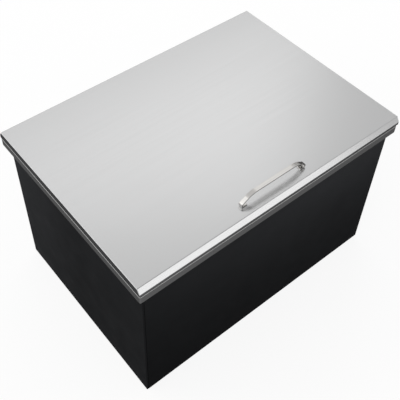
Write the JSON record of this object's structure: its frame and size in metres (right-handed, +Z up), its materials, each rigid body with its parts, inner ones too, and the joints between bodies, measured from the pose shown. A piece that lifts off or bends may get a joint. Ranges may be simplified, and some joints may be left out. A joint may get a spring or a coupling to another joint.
{
  "type": "drop in ice bin",
  "caption": "Insulated ice bin that drops into a worktop: black case, steel rim and tub, hinged flat lid with a low bow handle, and a plugged drain.",
  "frame": {"origin": "centre of the bounding box in plan, at the level of the case's flat bottom", "axes": "+X to the right along the long side, -Y towards the front with the handle, +Z up"},
  "size_m": [0.508, 0.3695, 0.3273],
  "materials": {
    "brushed_stainless": "brushed, satin",
    "rim_stainless": "brushed, satin",
    "liner_stainless": "mill finish, softly reflective",
    "handle_steel": "fine satin",
    "fastener_steel": "polished",
    "hinge_steel": "satin",
    "black_coated_steel": "semi-matt fine powder coat",
    "insulation_foam": "cellular, matt",
    "seal_rubber": "matt",
    "plug_rubber": "soft sheen",
    "drain_metal": "bright nickel plate"
  },
  "bodies": {
    "bin": {"rim_frame": "rim_stainless", "case_wrap": "black_coated_steel", "case_end_left": "black_coated_steel", "case_end_right": "black_coated_steel", "tub": "liner_stainless", "wall_insulation": "insulation_foam", "base_insulation": "insulation_foam", "drain_fitting": "drain_metal", "drain_seal": "seal_rubber", "drain_washer": "seal_rubber", "drain_locknut": "drain_metal", "drain_strainer": "fastener_steel", "hinge_base_leaf_left": "hinge_steel", "hinge_base_leaf_right": "hinge_steel", "hinge_pin_left": "hinge_steel", "hinge_pin_right": "hinge_steel", "hinge_base_rivets": "fastener_steel"},
    "lid": {"lid_skin": "brushed_stainless", "lid_pan": "liner_stainless", "lid_insulation": "insulation_foam", "lid_seal": "seal_rubber", "handle": "handle_steel", "handle_studs": "fastener_steel", "handle_nuts": "fastener_steel", "handle_backing_plate": "fastener_steel", "hinge_lid_leaf_left": "hinge_steel", "hinge_lid_leaf_right": "hinge_steel", "hinge_lid_rivets": "fastener_steel"},
    "plug": {"drain_plug": "plug_rubber"}
  },
  "joints": [
    {"name": "lid_hinge", "type": "hinge", "parent": "bin", "child": "lid", "pos_m": [0, 0.18225, 0.2937], "axis": [-1, 0, 0], "range_deg": [0, 105]},
    {"name": "plug_lift", "type": "slide", "parent": "bin", "child": "plug", "axis": [0, 0, 1], "range_m": [0, 0.06]}
  ]
}
